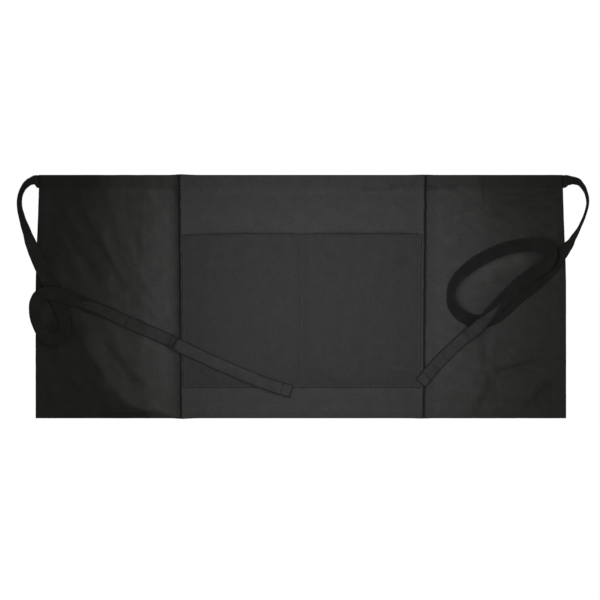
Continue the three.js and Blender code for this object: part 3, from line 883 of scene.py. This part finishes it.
def twillMaterial(name, face, shade, warpTone, weftTone, mottleTone):
    material, tree = blankMaterial(name)
    where = addNode(tree, "ShaderNodeUVMap", {"uv_map": "cloth"}).outputs[0]
    mottle = addNode(tree, "ShaderNodeTexNoise",
                     {"Scale": 1 / twill["mottle"], "Detail": 6.0, "Roughness": 0.62, "Distortion": 0.4},
                     {"Vector": where}).outputs[0]
    warp = yarns(tree, where, twill["slubWidth"], twill["slubLength"])
    weft = yarns(tree, where, twill["slubLength"], twill["slubWidth"])
    # bands across the cloth's diagonal, about a rib apart
    ribs = addNode(tree, "ShaderNodeTexWave",
                   {"wave_type": "BANDS", "bands_direction": "DIAGONAL",
                    "Scale": 0.314 / twill["rib"] / 0.577, "Distortion": 1.6, "Detail": 2.0,
                    "Detail Scale": 1.5}, {"Vector": where}).outputs[1]
    grain = addNode(tree, "ShaderNodeTexNoise",
                    {"Scale": 1 / twill["grain"], "Detail": 2.0, "Roughness": 0.6},
                    {"Vector": where}).outputs[0]
    # the values that carry painted shade along edges and folds, paler crests from wear and painted highlight
    # with painted shade in hollows, and painted light and shade across the cloth
    line, wornAndShaded, tone = [addNode(tree, "ShaderNodeAttribute", {"attribute_name": label}).outputs[2]
                        for label in ("pressed", "wornAndShaded", "tone")]
    # each pattern, its range, and what it multiplies the tone by at the range's two ends
    for pattern, low, high, atLow, atHigh in (
        (warp, 0.3, 0.7, 1 - warpTone, 1 + warpTone),
        (weft, 0.3, 0.7, 1 - weftTone, 1 + weftTone),
        (mottle, 0.3, 0.7, 1 + mottleTone, 1 - mottleTone),
        (grain, 0.3, 0.7, 0.83, 1.17),
        (ribs, 0, 1, 0.96, 1.04),
        (wornAndShaded, -1, 1, 1 - twill["wornAndShaded"], 1 + twill["wornAndShaded"]),
        (line, 0.1, 0.9, 1, twill["pressed"]),
    ):
        factor = addNode(tree, "ShaderNodeMapRange", {1: low, 2: high, 3: atLow, 4: atHigh}, {0: pattern})
        tone = addNode(tree, "ShaderNodeMath", {"operation": "MULTIPLY"},
                       {0: tone, 1: factor.outputs[0]}).outputs[0]
    mixed = addNode(tree, "ShaderNodeMapRange", {1: 0.3, 2: 0.7, 3: 0, 4: 1}, {0: mottle})
    base = addNode(tree, "ShaderNodeMix", {"data_type": "RGBA", 6: colour(face), 7: colour(shade)},
                   {0: mixed.outputs[0]})
    shaded = addNode(tree, "ShaderNodeVectorMath", {"operation": "SCALE"}, {0: base.outputs[2], 3: tone})
    height = addNode(tree, "ShaderNodeMath", {"operation": "MULTIPLY_ADD", 1: 0.5}, {0: ribs, 2: grain})
    yarnHeight = addNode(tree, "ShaderNodeMath", {"operation": "ADD"}, {0: warp, 1: weft})
    whole = addNode(tree, "ShaderNodeMath", {"operation": "ADD"},
                    {0: height.outputs[0], 1: yarnHeight.outputs[0]})
    bump = addNode(tree, "ShaderNodeBump", {"Strength": 0.4, "Distance": 0.3 * mm},
                   {"Height": whole.outputs[0]})
    rough = addNode(tree, "ShaderNodeMapRange",
                    {1: 0.3, 2: 0.7, 3: twill["roughness"] - 0.06, 4: twill["roughness"] + 0.06}, {0: grain})
    shader = addNode(tree, "ShaderNodeBsdfPrincipled",
                     {"IOR": 1.45, "Specular IOR Level": 0.2, "Sheen Weight": twill["sheen"],
                      "Sheen Roughness": 0.5},
                     {"Base Color": shaded.outputs[0], "Normal": bump.outputs[0],
                      "Roughness": rough.outputs[0]})
    addNode(tree, "ShaderNodeOutputMaterial", {}, {"Surface": shader.outputs[0]})
    return material


panelTwill = twillMaterial("washedBlackTwill", "#3e3e3e", "#3b3b3b", 0.05, 0.07, 0.035)
pocketTwill = twillMaterial("washedBlackTwillUpright", "#353535", "#333333", 0.09, 0.03, 0.02)
tieTwill = twillMaterial("pressedBlackTwill", "#393939", "#343434", 0.07, 0.07, 0.10)


# Spun polyester thread: a little lighter than the cloth and a little shinier, in plies about 0.7 mm long
def threadMaterial(name, dark, light):
    material, tree = blankMaterial(name)
    where = addNode(tree, "ShaderNodeTexCoord").outputs["Object"]
    ply = addNode(tree, "ShaderNodeTexNoise", {"Scale": 1500.0, "Detail": 2.0}, {"Vector": where})
    tone = addNode(tree, "ShaderNodeMix", {"data_type": "RGBA", 6: colour(dark), 7: colour(light)},
                   {0: ply.outputs[0]})
    shader = addNode(tree, "ShaderNodeBsdfPrincipled", {"Roughness": 0.6, "IOR": 1.5},
                     {"Base Color": tone.outputs[2]})
    addNode(tree, "ShaderNodeOutputMaterial", {}, {"Surface": shader.outputs[0]})
    return material


thread = threadMaterial("blackPolyesterThread", "#3b3b3a", "#4a4a49")
darkThread = threadMaterial("blackPolyesterThreadPressed", "#1f1f1e", "#2b2b2a")
for thing, material, slotName in [
    (panelCloth, panelTwill, "panel_twill"), (pocketCloth, pocketTwill, "pocket_twill"),
    (rightStrap, tieTwill, "tie_twill"), (leftStrap, tieTwill, "tie_twill"),
    *[(strip, panelTwill, "panel_twill") for strip in turnings.values()],
]:
    thing.data.materials.append(material)
print("materials", len(bpy.data.materials))


# Stitches, by Geometry Nodes along the seam lines
stitch = {
    "spacing": 3.3 * mm,
    "length": 2.6 * mm,
    "thread": 0.55 * mm,          # drawn a little thick: real thread is about 0.3 mm
    "lift": 0.10 * mm,
    "wander": 0.25 * mm,
}


def stitchTree():
    tree = bpy.data.node_groups.new("stitchesAlongLines", "GeometryNodeTree")
    face = tree.interface
    face.new_socket("Geometry", in_out="INPUT", socket_type="NodeSocketGeometry")
    for label in ("Spacing", "Length", "Thread"):
        face.new_socket(label, in_out="INPUT", socket_type="NodeSocketFloat")
    face.new_socket("Finish", in_out="INPUT", socket_type="NodeSocketMaterial")
    face.new_socket("Geometry", in_out="OUTPUT", socket_type="NodeSocketGeometry")
    given = addNode(tree, "NodeGroupInput").outputs
    lines = addNode(tree, "GeometryNodeMeshToCurve", {}, {"Mesh": given["Geometry"]})
    spots = addNode(tree, "GeometryNodeCurveToPoints", {"mode": "LENGTH"},
                    {"Curve": lines.outputs[0], "Length": given["Spacing"]})
    turned = addNode(tree, "FunctionNodeAlignRotationToVector", {"axis": "Z"},
                     {"Vector": spots.outputs["Tangent"]})
    wobble = addNode(tree, "FunctionNodeRandomValue",
                     {"data_type": "FLOAT_VECTOR", 0: (-0.06, -0.06, 0), 1: (0.06, 0.06, 0), "Seed": 5})
    rotated = addNode(tree, "FunctionNodeRotateRotation", {"rotation_space": "LOCAL"},
                      {0: turned.outputs[0], 1: wobble.outputs[0]})
    ball = addNode(tree, "GeometryNodeMeshUVSphere", {"Segments": 6, "Rings": 4, "Radius": 0.5})
    size = addNode(tree, "ShaderNodeCombineXYZ", {},
                   {0: given["Thread"], 1: given["Thread"], 2: given["Length"]})
    placed = addNode(tree, "GeometryNodeInstanceOnPoints", {},
                     {"Points": spots.outputs["Points"], "Instance": ball.outputs[0],
                      "Rotation": rotated.outputs[0], "Scale": size.outputs[0]})
    real = addNode(tree, "GeometryNodeRealizeInstances", {}, {0: placed.outputs[0]})
    made = addNode(tree, "GeometryNodeSetMaterial", {},
                   {"Geometry": real.outputs[0], "Material": given["Finish"]})
    addNode(tree, "NodeGroupOutput", {}, {0: made.outputs[0]})
    return tree


stitches = stitchTree()


def sewn(name, lines, finish):
    # turns a list of point lists into rows of stitches
    points = []
    edges = []
    for line in lines:
        start = len(points)
        points.extend(line)
        edges += [(i, i + 1) for i in range(start, len(points) - 1)]
    thing = newObject(name, points, [], edges=edges)
    modifier = thing.modifiers.new("stitches", "NODES")
    modifier.node_group = stitches
    sockets = {s.name: s.identifier for s in stitches.interface.items_tree if s.in_out == "INPUT"}
    for label, value in (("Spacing", "spacing"), ("Length", "length"), ("Thread", "thread")):
        modifier[sockets[label]] = stitch[value]
    modifier[sockets["Finish"]] = finish
    evaluated = thing.evaluated_get(bpy.context.evaluated_depsgraph_get())
    result = bpy.data.meshes.new_from_object(evaluated)
    thing.modifiers.remove(modifier)
    thing.data = result
    result.name = name
    for polygon in result.polygons:
        polygon.use_smooth = True
    return thing


def lineOn(surface, fromPoint, toPoint, seed):
    # a seam line on a surface, with the slight wander of a hand-guided row
    (ax, ay), (bx, by) = fromPoint, toPoint
    count = max(2, int(math.hypot(bx - ax, by - ay) / (3 * mm)))
    t = np.linspace(0, 1, count)
    x = ax + (bx - ax) * t
    y = ay + (by - ay) * t
    drift = stitch["wander"] * softNoise(x, y, 90 * mm, seed)
    if abs(bx - ax) > abs(by - ay):
        y = y + drift
    else:
        x = x + drift
    lower = mouthSag(x, y) if surface is pocketTop else 0
    return np.column_stack([drawnIn(x, y), y - lower, surface(x, y) + stitch["lift"]])


sideLine = halfWidth - 0.9 * lie["sideHem"]
bandRow = bandFoot + 0.7 * mm
hemRow = hemTop - 1.5 * mm
ends = 2 * mm
runs = [
    ((ends - halfWidth, bandRow), (halfWidth - ends, bandRow)),
    ((ends - halfWidth, hemRow), (halfWidth - ends, hemRow)),
    ((-sideLine, bottom + ends), (-sideLine, top - ends)),
    ((sideLine, bottom + ends), (sideLine, top - ends)),
]
panelSeams = sewn("panelSeams", [lineOn(panelTop, *run, 2 + i) for i, run in enumerate(runs)], thread)
inset = 2.2 * mm
mouthRow = hemLine + 1 * mm
left = pocketLow.x + inset
right = pocketHigh.x - inset
foot = pocketLow.y + inset
head = pocketHigh.y
second = right - 2.3 * mm         # the right side is sewn twice
runs = [
    ((left, mouthRow), (right, mouthRow)), ((left, head), (left, foot)), ((left, foot), (right, foot)),
    ((right, foot), (right, head)), ((second, foot), (second, head)),
    ((pocket["divider"], foot), (pocket["divider"], mouthRow)),
]
pocketSeams = sewn("pocketSeams", [lineOn(pocketTop, *run, 6 + i) for i, run in enumerate(runs)], thread)


def tieLine(side, laid, share, up):
    # a row of stitches along a strap, share of the half width from its middle
    out = up * (tie["thickness"] / 2 * 0.8 + stitch["lift"])
    stations = range(tie["seamFrom"], len(laid["places"]) - 2)
    return [strapPoint(laid, i, share, out + belly(side, laid, i) * (0.6 - share**2)) for i in stations]


tieSeams = {}
for side, laid in (("left", laidLeft), ("right", laidRight)):
    rows = [tieLine(side, laid, sign * tie["seamShare"], up) for sign in (-1, 1) for up in (1, -1)]
    tieSeams[side] = sewn(f"{side}StrapSeams", rows, darkThread)
seams = (panelSeams, pocketSeams, *tieSeams.values())
print("stitches", sum(len(seam.data.polygons) for seam in seams), "faces")


# What stands for what, and what rides on what
for piece in (panelCloth, pocketCloth, leftStrap, rightStrap, *turnings.values(), *seams):
    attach(piece, "root")
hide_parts("apron_panel")
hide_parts("pocket")
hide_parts("left_tie")
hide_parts("right_tie")
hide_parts("waistband")
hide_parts("bottom_hem")
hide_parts("left_side_hem")
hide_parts("right_side_hem")

# Floor, light and camera
studio = {
    "cameraHeight": 1.5,
    "frameWidth": 1.020,          # what the 600 pixels of the frame take in at the floor
    "aim": (-0.0015, -0.0058),
    "keyAt": (0.03, 0.0, 0.27),
    "keySize": (0.56, 0.52),
    "keySpread": 122,             # degrees: a grid on the soft box keeps the light off the far sides
    "keyPower": 0.80,
    "keyColour": (1.0, 1.0, 1.02),
    "fill": 0.185,
    "fillColour": (1.0, 1.0, 0.88),
    "floorReach": 4.0,
    "floorHeight": -0.3 * mm,
}


def makeFloor():
    material, tree = blankMaterial("paleFloor")
    # it looks white, but throws little light back up at the cloth
    seen = addNode(tree, "ShaderNodeLightPath").outputs["Is Camera Ray"]
    glow = addNode(tree, "ShaderNodeEmission", {"Color": (1, 1, 1, 1)}, {"Strength": seen})
    matt = addNode(tree, "ShaderNodeBsdfDiffuse", {"Color": (0.03, 0.03, 0.03, 1)})
    both = addNode(tree, "ShaderNodeAddShader", {}, {0: glow.outputs[0], 1: matt.outputs[0]})
    addNode(tree, "ShaderNodeOutputMaterial", {}, {"Surface": both.outputs[0]})
    reach = studio["floorReach"]
    corners = [(x * reach, y * reach, studio["floorHeight"]) for x, y in ((-1, -1), (1, -1), (1, 1), (-1, 1))]
    floor = newObject("floor", corners, [(0, 1, 2, 3)])
    floor.data.materials.append(material)


def makeLight():
    world = bpy.data.worlds.new("studio")
    world.use_nodes = True
    background = world.node_tree.nodes["Background"]
    background.inputs[0].default_value = (*studio["fillColour"], 1)
    background.inputs[1].default_value = studio["fill"]
    bpy.context.scene.world = world
    lamp = bpy.data.lights.new("key", "AREA")
    lamp.shape = "RECTANGLE"
    lamp.size, lamp.size_y = studio["keySize"]
    lamp.spread = math.radians(studio["keySpread"])
    lamp.energy = studio["keyPower"]
    lamp.color = studio["keyColour"]
    key = putInScene("key", lamp)
    key.location = studio["keyAt"]
    key.visible_camera = False


def makeCamera():
    data = bpy.data.cameras.new("camera")
    data.sensor_width = 36
    data.lens = 36 * studio["cameraHeight"] / studio["frameWidth"]
    camera = putInScene("camera", data)
    camera.location = (*studio["aim"], studio["cameraHeight"])
    bpy.context.scene.camera = camera
    bpy.context.scene.view_settings.view_transform = "Standard"


makeFloor()
makeLight()
makeCamera()
print("studio ready")
